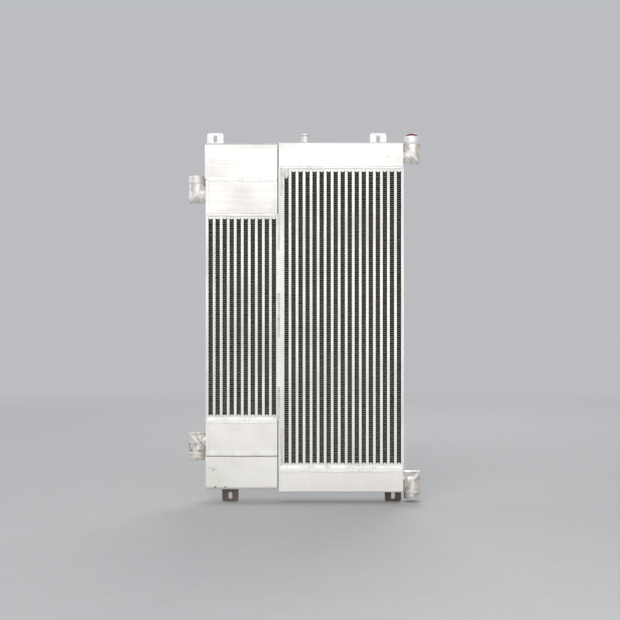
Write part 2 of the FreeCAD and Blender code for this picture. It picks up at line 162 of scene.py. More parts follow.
class Nodes:
    """A material's node tree, with short calls for the nodes used here."""

    def __init__(self, name, **shader):
        self.material = bpy.data.materials.new(name)
        self.material.use_nodes = True
        self.tree = self.material.node_tree
        self.shader = self.tree.nodes["Principled BSDF"]
        for socket, value in shader.items():
            self.shader.inputs[socket.replace("_", " ").capitalize()].default_value = value

    def node(self, kind, **values):
        made = self.tree.nodes.new(kind)
        for key, value in values.items():
            setattr(made, key, value)
        return made

    def link(self, output, target):
        self.tree.links.new(output, target)

    def place(self, scale):
        """Object coordinates, stretched by a scale for each axis."""
        coordinates = self.node("ShaderNodeTexCoord")
        mapping = self.node("ShaderNodeMapping")
        mapping.inputs["Scale"].default_value = scale
        self.link(coordinates.outputs["Object"], mapping.inputs["Vector"])
        return mapping.outputs["Vector"]

    def noise(self, scale, detail=4.0, roughness=0.55):
        texture = self.node("ShaderNodeTexNoise")
        texture.inputs["Scale"].default_value = 1.0
        texture.inputs["Detail"].default_value = detail
        texture.inputs["Roughness"].default_value = roughness
        self.link(self.place(scale), texture.inputs["Vector"])
        return texture.outputs["Fac"]

    def ramp(self, value, low, high, low_value=0.0, high_value=1.0):
        """Maps low..high to low_value..high_value, held beyond."""
        made = self.node("ShaderNodeMapRange", interpolation_type="SMOOTHSTEP")
        for socket, number in (("From Min", low), ("From Max", high),
                               ("To Min", low_value), ("To Max", high_value)):
            made.inputs[socket].default_value = number
        self.link(value, made.inputs["Value"])
        return made.outputs["Result"]

    def maths(self, operation, a, b):
        made = self.node("ShaderNodeMath", operation=operation)
        for socket, value in zip(made.inputs, (a, b)):
            if isinstance(value, (int, float)):
                socket.default_value = value
            else:
                self.link(value, socket)
        return made.outputs["Value"]

    def mix(self, factor, a, b, blend="MIX"):
        """Mixes two colours; each is a tuple or an output."""
        made = self.node("ShaderNodeMix", data_type="RGBA", blend_type=blend)
        self.link(factor, made.inputs["Factor"])
        for socket, value in ((made.inputs[6], a), (made.inputs[7], b)):
            if isinstance(value, tuple):
                socket.default_value = (*value, 1.0)
            else:
                self.link(value, socket)
        return made.outputs[2]

    def near(self, centre, radii):
        """1 at the centre, falling to 0 at the radii of an ellipsoid."""
        coordinates = self.node("ShaderNodeTexCoord")
        shift = self.node("ShaderNodeMapping")
        shift.inputs["Location"].default_value = tuple(-c / r for c, r in zip(centre, radii))
        shift.inputs["Scale"].default_value = tuple(1 / r for r in radii)
        self.link(coordinates.outputs["Object"], shift.inputs["Vector"])
        length = self.node("ShaderNodeVectorMath", operation="LENGTH")
        self.link(shift.outputs["Vector"], length.inputs[0])
        return self.ramp(length.outputs["Value"], 0.25, 1.0, 1.0, 0.0)

    def bump(self, height, distance, strength=1.0, below=None):
        made = self.node("ShaderNodeBump")
        made.inputs["Distance"].default_value = distance
        made.inputs["Strength"].default_value = strength
        self.link(height, made.inputs["Height"])
        if below is not None:
            self.link(below, made.inputs["Normal"])
        return made.outputs["Normal"]

    def finish(self, colour=None, roughness=None, normal=None):
        for output, socket in ((colour, "Base Color"), (roughness, "Roughness"), (normal, "Normal")):
            if output is not None:
                self.link(output, self.shader.inputs[socket])
        return self.material


def brushed(name, base, shade, brush, rough=(0.36, 0.56), metallic=0.6, marks_and_painted_light=(), bump=0.05 * MM, tint=None,
            mottle=9.0, dents=0.6 * MM):
    """Satin aluminium. brush is the noise scale for each axis: low along the brushing, high across it.

    mottle is the noise scale of its cloudy patches and dents the depth of their hollows.
    """
    m = Nodes(name, metallic=metallic)
    streaks = m.noise(brush, 3.0, 0.6)
    blotches = m.noise((mottle, mottle, mottle), 5.0, 0.6)
    specks = m.noise((420.0, 420.0, 420.0), 2.0, 0.5)
    colour = m.mix(m.ramp(blotches, 0.42, 0.68), base, shade)
    colour = m.mix(m.ramp(streaks, 0.50, 0.74, 0.0, 0.55), colour, shade)
    colour = m.mix(m.ramp(specks, 0.66, 0.76, 0.0, 0.35), colour, tuple(0.55 * c for c in shade))
    if tint is not None:
        colour = m.mix(m.ramp(m.noise((3.1, 3.1, 4.3), 2.0, 0.5), 0.50, 0.72, 0.0, 0.8), colour, tint)
    # the patches are real stains, except the dent patch, which is painted shade, and the warm streak, which
    # is a painted reflection
    for centre, radii, dark, amount in marks_and_painted_light:
        patch = m.maths("MULTIPLY", m.near(centre, radii), m.ramp(m.noise((160.0, 160.0, 160.0)), 0.35, 0.6))
        colour = m.mix(m.maths("MULTIPLY", patch, amount), colour, dark)
    roughness = m.ramp(m.maths("ADD", m.maths("MULTIPLY", streaks, 0.6), m.maths("MULTIPLY", blotches, 0.4)),
                       0.35, 0.65, *rough)
    normal = m.bump(streaks, bump)
    return m.finish(colour, roughness, m.bump(blotches, dents, 0.5, normal))


def tank_mark_and_shade(corner, right, up, radii, colour, amount):
    """Patch on a tank's front: how far it lies right of and above a corner, and its radii, in mm."""
    centre = (corner.x + right * MM, TANK_FRONT, corner.z + up * MM)
    return centre, tuple(r * MM for r in radii), colour, amount


# noise scales of the brushing, per metre along X, Y and Z
ALONG_X, ALONG_Z, ROUND_PIPE = (5.0, 240.0, 240.0), (240.0, 240.0, 5.0), (60.0, 60.0, 300.0)
TURNED = (70.0, 70.0, 1400.0)

low_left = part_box("bottom_spacer_box")[0]
main_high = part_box("main_top_tank_body")[1]
SMUDGE = tank_mark_and_shade(low_left, 11, 48, (17, 9, 8), (0.42, 0.41, 0.36), 0.55)
GREENED = tank_mark_and_shade(low_left, 8, 12, (75, 60, 70), (0.80, 0.81, 0.70), 0.75)
SPECKS = [tank_mark_and_shade(low_left, right, 6, (4.5, 9, 3.5), (0.16, 0.15, 0.12), 0.9) for right in (18, 41)]
# painted shade: a darker patch for a dent in the main top tank
PAINTED_DENT_SHADE = tank_mark_and_shade(main_high, -26, -34, (9, 9, 6), (0.55, 0.54, 0.52), 0.5)

CORE_ALLOY = brushed("core_alloy", (0.87, 0.855, 0.83), (0.77, 0.755, 0.73), ALONG_Z, (0.42, 0.6), 0.45)
TANK_ALLOY = brushed("tank_alloy", (0.845, 0.825, 0.80), (0.76, 0.74, 0.715), ALONG_X, marks_and_painted_light=(PAINTED_DENT_SHADE,))
LOW_TANK_ALLOY = brushed("low_tank_alloy", (0.93, 0.91, 0.88), (0.85, 0.825, 0.79), ALONG_X,
                         (0.36, 0.52), 0.6, (GREENED, SMUDGE, *SPECKS), tint=(0.84, 0.78, 0.74))
LUG_ALLOY = brushed("lug_alloy", (0.79, 0.795, 0.79), (0.68, 0.685, 0.68), ALONG_Z, (0.4, 0.55), 0.5)
# painted shade: the lower lugs are painted dark for the shadow below the tanks, with a brown dirt tint
SHADED_DIRTY_LOW_LUG = brushed("low_lug_alloy", (0.18, 0.145, 0.12), (0.085, 0.065, 0.055), ALONG_Z,
                        (0.45, 0.65), 0.4)
top_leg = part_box("main_top_port_leg")
# painted reflection: a warm brown streak down the main top port's leg and collar
PAINTED_WARM_REFLECTION = ((top_leg[1].x - 10 * MM, top_leg[0].y, (top_leg[0].z + top_leg[1].z) / 2 + 6 * MM),
               (4 * MM, 26 * MM, 34 * MM), (0.62, 0.42, 0.24), 0.6)
PORT_ALLOY = brushed("port_alloy", (0.97, 0.95, 0.92), (0.62, 0.60, 0.56), ROUND_PIPE,
                     (0.42, 0.60), 0.65, (PAINTED_WARM_REFLECTION,), 0.08 * MM, mottle=70.0, dents=0.35 * MM)
LOW_PORT_ALLOY = brushed("low_port_alloy", (0.90, 0.87, 0.82), (0.40, 0.37, 0.32), ROUND_PIPE,
                         (0.44, 0.62), 0.75, (), 0.08 * MM, (0.78, 0.63, 0.54), 70.0, 0.45 * MM)
FITTING_ALLOY = brushed("fitting_alloy", (0.92, 0.915, 0.90), (0.74, 0.73, 0.70), TURNED,
                        (0.46, 0.60), 0.65, (PAINTED_WARM_REFLECTION,))


def channel_starts(core):
    """X where each air channel of the core starts, and the channels' width."""
    xs = np.array([v.co.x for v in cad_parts[f"{core.name}_core_air_bars_top"].data.vertices])
    edges = np.unique(np.round(xs / (0.01 * MM)).astype(int))
    groups = np.split(edges, np.where(np.diff(edges) > 500)[0] + 1)
    starts = [g[0] * 0.01 * MM for g in groups if len(g) > 1]
    return starts, (groups[0][-1] - groups[0][0]) * 0.01 * MM


# beyond the bright edge the fins are painted dark as shade
BRIGHT_EDGE = 3.2 * MM      # how far the fins stay bright behind the open faces
EDGE_TIP = 0.2 * MM         # the part of that which is fully bright


def fin_material(core):
    """Thin brazed sheet, bright on its cut edges; deeper inside it is painted near black as shade, and darker
    still along the parting sheets as painted shade.
    """
    starts, width = channel_starts(core)
    m = Nodes(f"{core.name}_core_fin_alloy", metallic=0.35)
    folds = m.noise((160.0, 30.0, 330.0), 3.0, 0.6)
    clouds = m.noise((14.0, 14.0, 9.0), 4.0, 0.6)
    # painted shade: the fins' alloy is painted near black for the shade deep inside the core
    colour = m.mix(m.ramp(folds, 0.35, 0.70), (0.012, 0.011, 0.010), (0.042, 0.039, 0.035))
    colour = m.mix(m.ramp(clouds, 0.45, 0.75, 0.0, 0.7), colour, (0.012, 0.011, 0.010))
    split = m.node("ShaderNodeSeparateXYZ")
    m.link(m.node("ShaderNodeTexCoord").outputs["Object"], split.inputs["Vector"])
    mid_depth = (MAIN.front + MAIN.rear) / 2
    from_middle = m.maths("ABSOLUTE", m.maths("SUBTRACT", split.outputs["Y"], mid_depth), 0.0)
    edge = m.ramp(from_middle, MAIN.rear - BRIGHT_EDGE, MAIN.rear - EDGE_TIP)
    edge = m.maths("MULTIPLY", edge, m.ramp(folds, 0.25, 0.6, 0.35, 1.0))
    # lighter grey only near the open faces; the rest stays painted dark as shade
    colour = m.mix(edge, colour, (0.48, 0.46, 0.425))
    repeat = starts[1] - starts[0]
    into_channel = m.maths("MODULO", m.maths("SUBTRACT", split.outputs["X"], starts[0]), repeat)
    from_centre = m.maths("ABSOLUTE", m.maths("SUBTRACT", into_channel, width / 2), 0.0)
    # painted shade: darker towards both parting sheets of each channel
    soot_and_shade = m.ramp(from_centre, 0.20 * width, 0.45 * width, 0.0, 0.95)
    colour = m.mix(soot_and_shade, colour, (0.018, 0.017, 0.016))
    return m.finish(colour, m.ramp(folds, 0.3, 0.7, 0.5, 0.75), m.bump(folds, 0.05 * MM))


def bead_material(name, base, shade, rough, metallic, toe_amount):
    """Solidified aluminium weld metal: bright crowns, with shade painted dark grey in the ripples and along
    the toes.
    """
    m = Nodes(name, metallic=metallic)
    soot_and_shade = m.noise((60.0, 60.0, 60.0), 5.0, 0.65)
    grain = m.noise((600.0, 600.0, 600.0), 2.0, 0.5)
    colour = m.mix(m.ramp(soot_and_shade, 0.48, 0.72), base, shade)
    colour = m.mix(m.ramp(grain, 0.62, 0.78, 0.0, 0.4), colour, tuple(0.7 * c for c in shade))
    toe = m.node("ShaderNodeAttribute", attribute_name="toe").outputs["Fac"]
    # painted shade: the toes and ripple hollows are painted dark grey, broken into patches
    painted_crevice_shade = m.maths("MULTIPLY", m.ramp(toe, 0.15, 1.0, 0.0, toe_amount), m.ramp(soot_and_shade, 0.30, 0.62, 0.25, 1.0))
    crevice_shade_gaps = m.noise((16.0, 16.0, 16.0), 2.0, 0.5)
    painted_crevice_shade = m.maths("MULTIPLY", painted_crevice_shade, m.ramp(crevice_shade_gaps, 0.42, 0.60, 0.35, 1.0))
    colour = m.mix(painted_crevice_shade, colour, (0.20, 0.19, 0.175))
    return m.finish(colour, m.ramp(soot_and_shade, 0.3, 0.7, *rough), m.bump(grain, 0.06 * MM))


def plain_plastic():
    m = Nodes("red_plastic")
    flow = m.noise((90.0, 90.0, 90.0), 4.0, 0.5)
    dust = m.noise((900.0, 900.0, 900.0), 2.0, 0.5)
    colour = m.mix(m.ramp(flow, 0.3, 0.7), (0.20, 0.008, 0.012), (0.13, 0.005, 0.009))
    colour = m.mix(m.ramp(dust, 0.6, 0.8, 0.0, 0.35), colour, (0.30, 0.13, 0.12))
    return m.finish(colour, m.ramp(flow, 0.3, 0.7, 0.32, 0.48), m.bump(dust, 0.03 * MM))


def rubber():
    m = Nodes("black_rubber")
    grain = m.noise((700.0, 700.0, 700.0), 3.0, 0.6)
    colour = m.mix(m.ramp(grain, 0.35, 0.7), (0.018, 0.018, 0.018), (0.05, 0.048, 0.045))
    return m.finish(colour, m.ramp(grain, 0.3, 0.7, 0.55, 0.75), m.bump(grain, 0.05 * MM))


FIN_ALLOY = {core.name: fin_material(core) for core in (SMALL, MAIN)}
BEAD = bead_material("weld_metal", (0.95, 0.94, 0.91), (0.82, 0.80, 0.76), (0.46, 0.62), 0.4, 0.85)
GREY_BEAD = bead_material("sooty_weld_metal", (0.74, 0.725, 0.69), (0.52, 0.50, 0.47), (0.44, 0.6), 0.5, 0.85)
FLAT_BEAD = bead_material("washed_weld_metal", (0.96, 0.95, 0.93), (0.86, 0.85, 0.83), (0.46, 0.6), 0.5, 0.65)
PORT_BEAD = bead_material("port_weld_metal", (0.84, 0.82, 0.79), (0.56, 0.54, 0.50), (0.52, 0.66), 0.5, 0.95)
RED_PLASTIC = plain_plastic()
RUBBER = rubber()

# ---------------------------------------------------------------- materials and edges of the CAD nodes

LOW = ("small_bottom_tank", "main_bottom_tank", "bottom_spacer")


def material_of(node):
    if node.startswith(LOW):
        return LOW_TANK_ALLOY
    if "tank" in node or "spacer" in node:
        return TANK_ALLOY
    if "bottom_port" in node:
        return LOW_PORT_ALLOY
    if "port" in node:
        return PORT_ALLOY
    if node.startswith("lug_lower"):
        return SHADED_DIRTY_LOW_LUG
    if node.startswith("lug") or node == "vent_boss":
        return LUG_ALLOY
    if "air_fins" in node or "turbulators" in node:
        return FIN_ALLOY[node.split("_")[0]]
    others = {"vent_plug": FITTING_ALLOY, "vent_seal": RUBBER, "transit_plug": RED_PLASTIC}
    return others.get(node, CORE_ALLOY)


# width in mm of the broken edge of each kind of node
EDGE_BREAK = {"cap": 0.8, "lug": 0.7, "side_plate": 0.5, "tie_bar": 0.5, "bars": 0.35, "plug": 0.3,
              "spacer": 0.6}
SHARP_EDGE = math.radians(50)


def dress_cad_nodes():
    """Every CAD node gets its material, and sawn or machined edges are broken a little."""
    for name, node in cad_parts.items():
        node.data.materials.clear()
        node.data.materials.append(material_of(name))
        for part, size in EDGE_BREAK.items():
            if part in name and "fins" not in name:
                bevel = node.modifiers.new("edge_break", "BEVEL")
                bevel.width = size * MM
                bevel.segments = 2
                bevel.limit_method = "ANGLE"
                bevel.angle_limit = SHARP_EDGE
                break


dress_cad_nodes()

# ---------------------------------------------------------------- air fins

FIN_PITCH = 9.36 * MM       # one whole fold, which crosses the channel twice
FIN_T = 0.34 * MM
FIN_SLANT = 0.35 * MM       # how much each crossing climbs
FIN_CORNER = 0.7 * MM       # cut corner where a crossing meets the parting sheet
FIN_SWAY = 4.8 * MM         # how far the folds wander up and down through the depth
FIN_RUNS = 8                # straight runs of one fold from front to rear
FIN_JITTER = 0.36 * MM


def fold_line(width, low, high, rng):
    """Centre line of one channel's folded sheet as (across, up) points."""
    folds = round((high - low) / FIN_PITCH)
    pitch = (high - low) / folds
    base = low + pitch * np.arange(folds)
    up = base[:, None] + np.array([0, pitch / 2 - FIN_SLANT, pitch / 2, pitch - FIN_SLANT])
    up = up + np.clip(rng.normal(0, FIN_JITTER, up.shape), -2 * FIN_JITTER, 2 * FIN_JITTER)
    half = FIN_T / 2
    across = np.tile([half, half, width - half, width - half], (folds, 1))
    inner = np.stack([across.ravel(), up.ravel()], axis=1)
    # the first and last crossings close the ends
    line = np.vstack([[width - half, low - FIN_SLANT], inner, [half, high]])
    return chamfered(line, FIN_CORNER)


def chamfered(line, cut):
    """The line with each inner corner cut off."""
    step = normalised(np.diff(line, axis=0))
    pairs = np.stack([line[1:-1] - cut * step[:-1], line[1:-1] + cut * step[1:]], axis=1)
    return np.vstack([line[:1], pairs.reshape(-1, 2), line[-1:]])


def offset_line(line, distance):
    """The line moved sideways, mitred at its corners."""
    step = normalised(np.diff(line, axis=0))
    side = np.stack([-step[:, 1], step[:, 0]], axis=1)
    before, after = np.vstack([side[:1], side]), np.vstack([side, side[-1:]])
    mitre = (before + after) / (1 + np.sum(before * after, axis=1, keepdims=True))
    return line + mitre * distance


FIN_BEND = 0.35 * MM        # how far the crossings of the open face are bent up or down
FIN_BEND_STEP = 7 * MM


def fin_channel(x, width, low, high, depths, sways, rng):
    """One folded sheet of a channel between the given depths: points and faces of a closed shell.

    The first depth is the open face, where the edges are bent.
    """
    line = fold_line(width, low, high, rng)
    ring = np.vstack([offset_line(line, FIN_T / 2), offset_line(line, -FIN_T / 2)[::-1]])
    ring[:, 0] = np.clip(ring[:, 0], 0, width)
    bend = smooth_noise(rng, high - low, FIN_BEND_STEP, ring[:, 1] - low) * FIN_BEND
    rows = []
    for depth, sway in zip(depths, sways):
        rows.append(np.stack([x + ring[:, 0], np.full(len(ring), depth), ring[:, 1] + sway + bend], axis=1))
        bend = 0.0
    count = len(line)
    faces = grid_faces(len(rows), 2 * count, closed_columns=True)
    last = (len(rows) - 1) * 2 * count
    for i in range(count - 1):
        j = 2 * count - 1 - i
        faces.append((i, i + 1, j - 1, j))
        faces.append((last + i, last + j, last + j - 1, last + i + 1))
    return np.concatenate(rows), faces


def build_fins(core):
    """Herringbone air fins for one core, in a front and a rear half."""
    node = f"{core.name}_core_air_fins"
    starts, width = channel_starts(core)
    depths = np.linspace(core.front, core.rear, FIN_RUNS + 1)
    sways = np.where(np.arange(FIN_RUNS + 1) % 2 == 0, -FIN_SWAY / 2, FIN_SWAY / 2)
    low = core.low_nose + FIN_SWAY / 2 + FIN_T + FIN_SLANT
    high = core.high_nose - FIN_SWAY / 2 - FIN_T
    half = FIN_RUNS // 2
    # each half starts at its open face
    halves = (("front", depths[:half + 1], sways[:half + 1], 1),
              ("rear", depths[half:][::-1], sways[half:][::-1], 2))
    for label, ys, shifts, seed in halves:
        build = Build()
        for i, x in enumerate(starts):
            rng = np.random.default_rng(1000 * seed + 10 * i + len(starts))
            build.add(*fin_channel(x, width, low, high, ys, shifts, rng))
        name = f"{core.name}_core_herringbone_fins_{label}"
        piece = build.piece(name, FIN_ALLOY[core.name], smooth=False)
    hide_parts(node)


# ---------------------------------------------------------------- weld beads

BEAD_STEP = 0.65 * MM
BEAD_COLUMNS = 11
SCALLOP = 0.24              # how far a run's edge draws in at each ripple, as a share of its width


class Bead:
    """Size and look of a weld run, in mm: width, height, ripple spacing and depth below its path.

    ripple and wander are shares of its height and width. flat is 2 for a round crown, more for a washed one.
    """

    def __init__(self, width, height, pitch, ripple=0.35, wander=0.10, sink=0.5, flat=2.0):
        self.width, self.height, self.pitch = width * MM, height * MM, pitch * MM
        self.ripple, self.wander, self.sink, self.flat = ripple, wander, sink * MM, flat


def resample(points, outs, closed):
    """Even steps along a path, with the outward direction at each."""
    points, outs = np.asarray(points, float), np.asarray(outs, float)
    if closed:
        points, outs = np.vstack([points, points[:1]]), np.vstack([outs, outs[:1]])
    lengths = np.concatenate([[0], np.cumsum(np.linalg.norm(np.diff(points, axis=0), axis=1))])
    count = max(6, int(lengths[-1] / BEAD_STEP))
    at = np.linspace(0, lengths[-1], count + 1)
    if closed:
        at = at[:-1]
    place = np.stack([np.interp(at, lengths, points[:, k]) for k in range(3)], axis=1)
    out = normalised(np.stack([np.interp(at, lengths, outs[:, k]) for k in range(3)], axis=1))
    return place, out, at, lengths[-1]


def bead_shell(points, outs, bead, seed, closed=False):
    """Points, faces and toe values of one weld run along a path: a rippled crown and a flat underside."""
    rng = np.random.default_rng(seed)
    place, out, at, length = resample(points, outs, closed)
    if closed:
        along = normalised(np.roll(place, -1, axis=0) - np.roll(place, 1, axis=0))
    else:
        along = normalised(np.gradient(place, axis=0))
    across = normalised(np.cross(along, out))
    t = np.sin(np.linspace(-math.pi / 2, math.pi / 2, BEAD_COLUMNS))
    widths = bead.width / 2 * (1 + bead.wander * smooth_noise(rng, length, 3 * bead.pitch, at))
    heights = bead.height * (1 + 0.6 * bead.wander * smooth_noise(rng, length, 5 * bead.pitch, at))
    pitch = length / max(1, round(length / bead.pitch)) if closed else bead.pitch
    phase = at[:, None] / pitch + 0.45 * (1 - t[None, :] ** 2)
    if not closed:
        phase = phase + 0.35 * smooth_noise(rng, length, 4 * bead.pitch, at)[:, None]
        end = np.minimum(at, length - at)
        taper = np.sqrt(np.clip(1 - (1 - np.clip(end / (bead.width / 2), 0, 1)) ** 2, 0.0, 1))
        widths, heights = widths * (0.25 + 0.75 * taper), heights * (0.05 + 0.95 * taper)
    ridge = np.abs(np.sin(np.pi * phase)) ** 0.5
    crown = (1 - np.abs(t[None, :]) ** bead.flat) ** 0.55
    rise = heights[:, None] * crown * (1 - bead.ripple + bead.ripple * ridge)
    sweep = bead.wander * bead.width * 0.35 * smooth_noise(rng, length, 6 * bead.pitch, at)
    if closed:
        fade = np.minimum(1, np.minimum(at, length - at) / (3 * bead.pitch))
        sweep = sweep * fade
    reach = widths[:, None] * (1 + SCALLOP * (ridge - 1))
    side = across[:, None, :] * (t[None, :, None] * reach[:, :, None] + sweep[:, None, None])
    top = place[:, None, :] + side + out[:, None, :] * rise[:, :, None]
    under = place[:, None, :] + side[:, [-1, 0], :] - out[:, None, :] * bead.sink
    ring = np.concatenate([top, under], axis=1)
    # how much painted shade each point gets: most at the edges and in the ripple hollows, full on the
    # underside
    painted_crevice_shade = np.maximum(np.abs(t[None, :]) ** (1.3 * bead.flat), 2.2 * bead.ripple * (1 - ridge))
    toes = np.concatenate([painted_crevice_shade, np.ones((len(place), 2))], axis=1)
    rows, columns = ring.shape[:2]
    faces = grid_faces(rows, columns, closed_rows=closed, closed_columns=True)
    if not closed:
        last = (rows - 1) * columns
        faces.append(tuple(range(columns - 1, -1, -1)))
        faces.append(tuple(last + i for i in range(columns)))
    return ring, faces, toes


class Welds:
    """Several runs joined in one piece."""

    def __init__(self, name, material=None):
        self.name, self.material, self.build = name, material or BEAD, Build()
        self.seed = sum(ord(c) * (i + 1) for i, c in enumerate(name))

    def run(self, points, outs, bead, closed=False):
        self.seed += 1
        self.build.add(*bead_shell(points, outs, bead, self.seed, closed))

    def line(self, start, end, out, bead):
        """Straight run; out is its outward direction."""
        out = normalised(np.asarray(out, float))
        self.run([start, end], [out, out], bead)

    def ring(self, centre, axis, radius, lean, bead):
        """Run round a tube. lean is how far the run faces along the axis, against outwards."""
        axis = normalised(np.asarray(axis, float))
        first = normalised(np.cross(axis, [0.3, 0.9, 0.2]))
        second = np.cross(axis, first)
        turns = np.linspace(0, 2 * math.pi, 96, endpoint=False)[:, None]
        radial = np.cos(turns) * first + np.sin(turns) * second
        self.run(np.asarray(centre, float) + radius * radial, normalised(radial + lean * axis), bead, True)

    def done(self):
        piece = self.build.piece(self.name, self.material)
        return piece


TOP_JOINT = Bead(7.2, 2.7, 6.6, 0.22, 0.10, flat=5)          # core to tank foot, upper end
BOTTOM_JOINT = Bead(17.5, 1.0, 6.6, 0.45, 0.06, 1.2, flat=6)  # the same, lower end, washed over the foot
TOP_SEAM = Bead(12.5, 1.1, 6.2, 0.40, 0.14, 1.5, flat=5)      # small top tank to its spacer
BOTTOM_SEAM = Bead(13.5, 0.55, 7.6, 0.26, 0.06, 1.5, flat=6)
SIDE_SEAM = Bead(9.0, 1.2, 4.0, 0.35, 0.12, flat=3)
STITCH = Bead(5.0, 1.1, 3.6, 0.40, 0.16, flat=2.4)
CAP_SEAM = Bead(3.0, 0.3, 2.6, 0.35, 0.12)
PORT_RING = Bead(6.6, 1.9, 3.6, 0.28, 0.10)
MITRE = Bead(8.6, 1.0, 3.4, 0.30, 0.16, flat=3)
COLLAR_RING = Bead(6.4, 0.9, 3.0, 0.24, 0.08, flat=3)
LUG_FILLET = Bead(5.0, 1.5, 3.2, 0.35, 0.12)
PUDDLE = Bead(9.0, 1.8, 4.4, 0.35, 0.30, flat=3)
CORNER_PUDDLE = Bead(9.5, 2.2, 5.6, 0.30, 0.30, 1.5, flat=2.4)


def weld_core_joints(core):
    """Runs where the tanks' feet stand on the core, front and rear and along the outer side."""
    x0, x1 = core.tank_x
    outer = core.left if core is SMALL else x1
    side = -1 if core is SMALL else 1
    for label, z, up, bead in (("top", core.top, 1, TOP_JOINT), ("bottom", core.bottom, -1, BOTTOM_JOINT)):
        welds = Welds(f"{core.name}_{label}_tank_weld", BEAD if up < 0 else FLAT_BEAD)
        for sign, face, foot in ((-1, core.front, FOOT_FRONT), (1, core.rear, FOOT_REAR)):
            if up > 0:
                below = z - bead.width * 0.42
                welds.line((x0 + 1.5 * MM, face, below), (x1 - 1.5 * MM, face, below), (0, sign, 0), bead)
            else:
                middle = (face + foot) / 2
                welds.line((x0 + 1.5 * MM, middle, z), (x1 - 1.5 * MM, middle, z), (0, sign, 0.17), bead)
        welds.line((outer, core.front + 3 * MM, z), (outer, core.rear - 3 * MM, z), (side, 0, 0), SIDE_SEAM)
        welds.done()


SEAM_DEPTH = 0.35 * MM          # how far the seam's path lies behind the tank's face
GROOVE_CLEARANCE = 9.0 * MM     # from the open joint up to the middle of the lower run


def weld_spacer_seams():
    """Runs between the small core's tanks and the spacer boxes."""
    for label, node, z_index in (("top", "top_spacer_box", 0), ("bottom", "bottom_spacer_box", 1)):
        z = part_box(node)[z_index].z
        x0, x1 = SMALL.tank_x
        up = 1 if label == "top" else -1
        welds = Welds(f"{label}_spacer_weld", FLAT_BEAD if up > 0 else BEAD)
        # the lower run stops short of the joint, which stays open as a groove
        shift, bead = (0.0, TOP_SEAM) if up > 0 else (GROOVE_CLEARANCE, BOTTOM_SEAM)
        for sign, face in ((-1, TANK_FRONT), (1, TANK_REAR)):
            depth = face - sign * SEAM_DEPTH
            welds.line((x0 + 1 * MM, depth, z + shift), (x1 - 1 * MM, depth, z + shift), (0, sign, 0), bead)
        welds.line((x0, TANK_FRONT + 8 * MM, z), (x0, TANK_REAR - 8 * MM, z), (-1, 0, 0), SIDE_SEAM)
        welds.done()


# both ends of each stitch run, in mm up from the core's bottom, or down from its top when negative
SMALL_STITCHES = ((-86, -2), (-285, -182), (2, 78))
MAIN_STITCHES = ((-70, -2), (3, 92))
BLOB_UP, BLOB_HALF = 92 * MM, 9 * MM    # a puddle on the second stitch of the small core
# the lump in the first channel's top corner, in mm: right of the tie bar, and down to its top and bottom
CORNER_LUMP = ((4.5, 4.0, 21.0), (11.5, 5.0, 28.0), (8.0, 2.0, 14.0))


def stitches(core, runs):
    """Lower and upper end of each run in metres; negative values count down from the core's top."""
    return [tuple((core.top if z < 0 else core.bottom) + z * MM for z in run) for run in runs]


def weld_tie_bars():
    """Stitch runs down both sides of the tie bars, front and rear."""
    high = MAIN.top
    small_side, main_side = stitches(SMALL, SMALL_STITCHES), stitches(MAIN, MAIN_STITCHES)
    for label, sign, face in (("front", -1, MAIN.front), ("rear", 1, MAIN.rear)):
        welds = Welds(f"tie_bar_{label}_welds", GREY_BEAD)
        for x, runs in ((SMALL.right, small_side), (MAIN.left, main_side)):
            for z0, z1 in runs:
                welds.line((x, face, z0), (x, face, z1), (0, sign, 0), STITCH)
        blob = small_side[1][0] + BLOB_UP
        welds.line((SMALL.right, face, blob - BLOB_HALF), (SMALL.right, face, blob + BLOB_HALF),
                   (0, sign, 0), PUDDLE)
        # a lump closes the first channel's top corner
        for across, top, bottom in CORNER_LUMP:
            x = MAIN.left + across * MM
            welds.line((x - 1 * MM, face, high - bottom * MM), (x + 1 * MM, face, high - top * MM),
                       (0, sign, 0), CORNER_PUDDLE)
        welds.done()


CAP_START = 11 * MM     # the cap runs start this far from the core, past the foot
CAP_CORNER = {"small": 6.5 * MM, "main": 3.0 * MM}      # outer radius of each core's tanks


def cap_path(x, foot_z, side, height, radius):
    """Path over a tank's front, closed face and rear at x, with outward directions."""
    points, outs = [], []
    closed_z = foot_z + side * height
    points.append((x, TANK_FRONT, foot_z + side * CAP_START))
    outs.append((0, -1, 0))
    for sign in (-1, 1):
        turns = np.linspace(0, math.pi / 2, 6)
        turns = turns if sign < 0 else turns[::-1]
        for a in turns:
            face = TANK_FRONT if sign < 0 else TANK_REAR
            y = face - sign * radius * (1 - math.cos(a))
            z = closed_z - side * radius * (1 - math.sin(a))
            points.append((x, y, z))
            outs.append((0, sign * math.cos(a), side * math.sin(a)))
    points.append((x, TANK_REAR, foot_z + side * CAP_START))
    outs.append((0, 1, 0))
    return points, outs


def weld_caps():
    """Dressed runs where each tank's end caps meet its body."""
    for core in (SMALL, MAIN):
        for label, z, side in (("top", core.top, 1), ("bottom", core.bottom, -1)):
            tank = f"{core.name}_{label}_tank"
            low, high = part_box(f"{tank}_cap_left")
            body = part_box(f"{tank}_body")
            welds = Welds(f"{tank}_cap_welds", TANK_ALLOY if side > 0 else LOW_TANK_ALLOY)
            for x in (body[0].x, body[1].x):
                points, outs = cap_path(x, z, side, high.z - low.z, CAP_CORNER[core.name])
                welds.run(points, outs, CAP_SEAM)
            welds.done()


